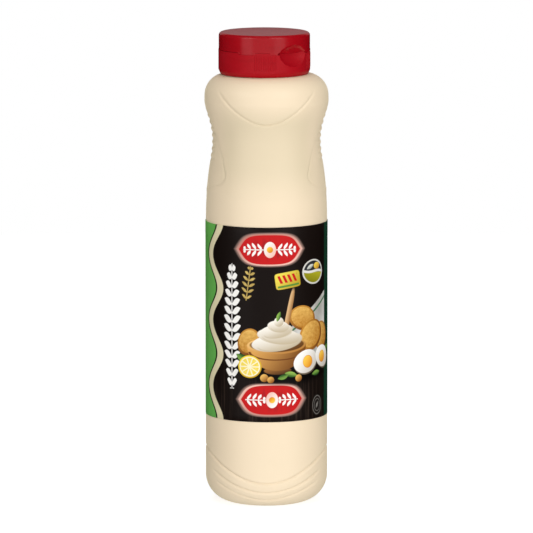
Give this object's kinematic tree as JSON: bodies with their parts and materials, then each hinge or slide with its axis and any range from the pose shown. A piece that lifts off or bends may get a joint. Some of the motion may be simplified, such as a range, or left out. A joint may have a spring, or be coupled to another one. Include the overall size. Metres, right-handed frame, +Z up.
{
  "type": "mayonnaise squeeze bottle",
  "caption": "Upright round squeeze bottle with a pinched, ribbed waist, wave grooves, a wrap-round printed label and a red flip-top cap, shut.",
  "frame": {"origin": "centre of the bottle's foot, on the surface that it stands on", "axes": "+Z up along the bottle's axis, towards the cap; -Y towards the front of the label; +X to the right of somebody who looks at the front"},
  "size_m": [0.0756, 0.0758, 0.2893],
  "materials": {
    "bottle": "satin cream polyethylene",
    "label": "printed film, satin",
    "cap_base": "glossy red polypropylene",
    "cap_lid": "glossy red polypropylene"
  },
  "bodies": {
    "root": {"bottle": "bottle", "label": "label", "cap_base": "cap_base", "cap_lid": "cap_lid"}
  },
  "joints": []
}
